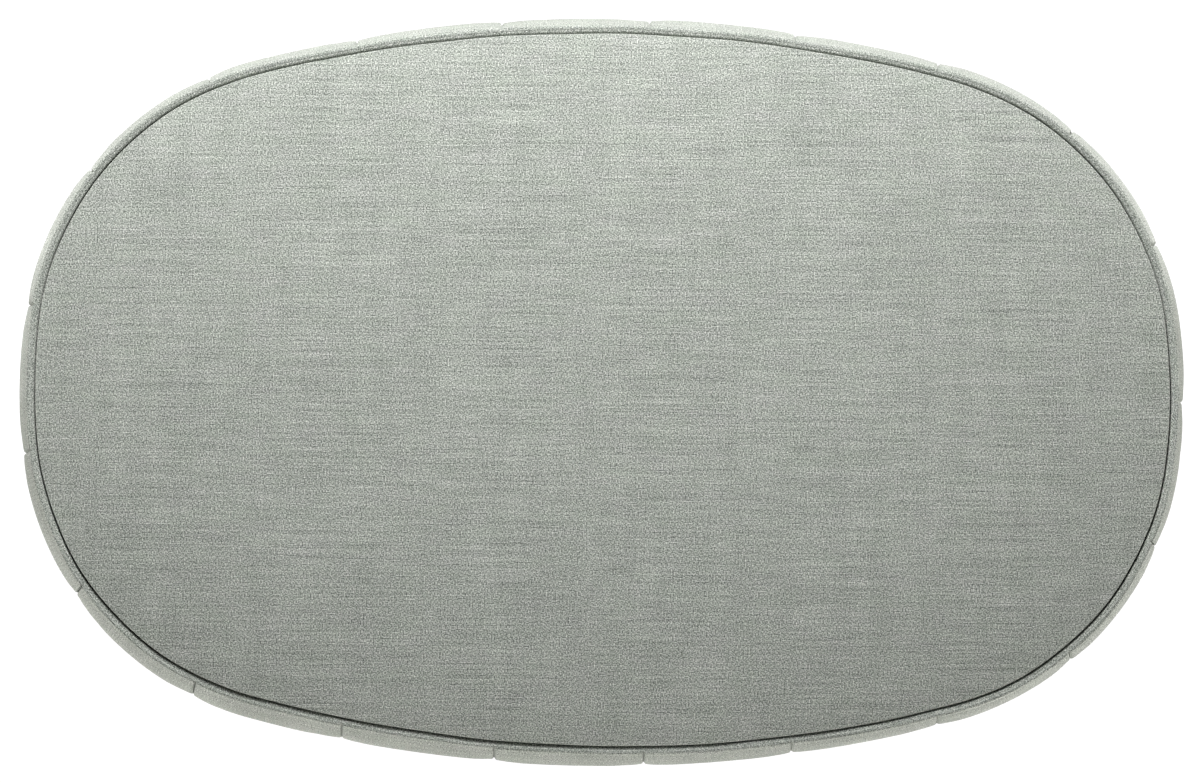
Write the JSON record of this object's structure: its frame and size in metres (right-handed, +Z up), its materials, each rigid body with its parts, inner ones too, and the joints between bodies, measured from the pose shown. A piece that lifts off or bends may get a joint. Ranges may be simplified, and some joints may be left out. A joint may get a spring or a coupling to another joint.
{
  "type": "upholstered oval footstool",
  "caption": "Oval cloth-covered footstool with a softly crowned top, piping round its edge, narrow padded side panels and short tapered wooden feet.",
  "frame": {"origin": "on the floor, under the middle of the footstool", "axes": "+X along its length, +Y across it, +Z up"},
  "size_m": [1, 0.642, 0.4],
  "materials": {
    "cover_cloth": "woven linen-look, matt",
    "beech": "clear satin lacquer",
    "felt": "pressed felt",
    "steel": "zinc plated",
    "plywood": "sawn, unfinished",
    "pine": "sawn, unfinished",
    "bendy_ply": "unfinished",
    "webbing": "elastic woven",
    "under_cloth": "non-woven",
    "foam": "open cell",
    "wadding": "fibre",
    "cord": "twisted"
  },
  "bodies": {
    "root": {"foot_rear_right": "beech", "foot_rear_left": "beech", "foot_front_left": "beech", "foot_front_right": "beech", "felt_pads": "felt", "foot_bolts": "steel", "tee_nuts": "steel", "foot_blocks": "plywood", "base_ring": "plywood", "top_ring": "plywood", "frame_post_01": "pine", "frame_post_02": "pine", "frame_post_03": "pine", "frame_post_04": "pine", "frame_post_05": "pine", "frame_post_06": "pine", "frame_post_07": "pine", "frame_post_08": "pine", "frame_post_09": "pine", "frame_post_10": "pine", "centre_stretcher": "pine", "frame_screws": "steel", "side_board": "bendy_ply", "webbing_strap_1": "webbing", "webbing_strap_2": "webbing", "webbing_strap_3": "webbing", "webbing_strap_4": "webbing", "webbing_strap_5": "webbing", "webbing_strap_6": "webbing", "webbing_staples": "steel", "platform_cloth": "under_cloth", "top_foam": "foam", "side_foam": "foam", "top_wadding": "wadding", "top_cover": "cover_cloth", "welt_cord": "cord", "welt_cover": "cover_cloth", "side_panel_01": "cover_cloth", "side_panel_02": "cover_cloth", "side_panel_03": "cover_cloth", "side_panel_04": "cover_cloth", "side_panel_05": "cover_cloth", "side_panel_06": "cover_cloth", "side_panel_07": "cover_cloth", "side_panel_08": "cover_cloth", "side_panel_09": "cover_cloth", "side_panel_10": "cover_cloth", "side_panel_11": "cover_cloth", "side_panel_12": "cover_cloth", "side_panel_13": "cover_cloth", "side_panel_14": "cover_cloth", "side_panel_15": "cover_cloth", "side_panel_16": "cover_cloth", "side_panel_17": "cover_cloth", "side_panel_18": "cover_cloth", "side_panel_19": "cover_cloth", "side_panel_20": "cover_cloth", "side_panel_21": "cover_cloth", "dust_cover": "under_cloth", "underside_staples": "steel"}
  },
  "joints": []
}
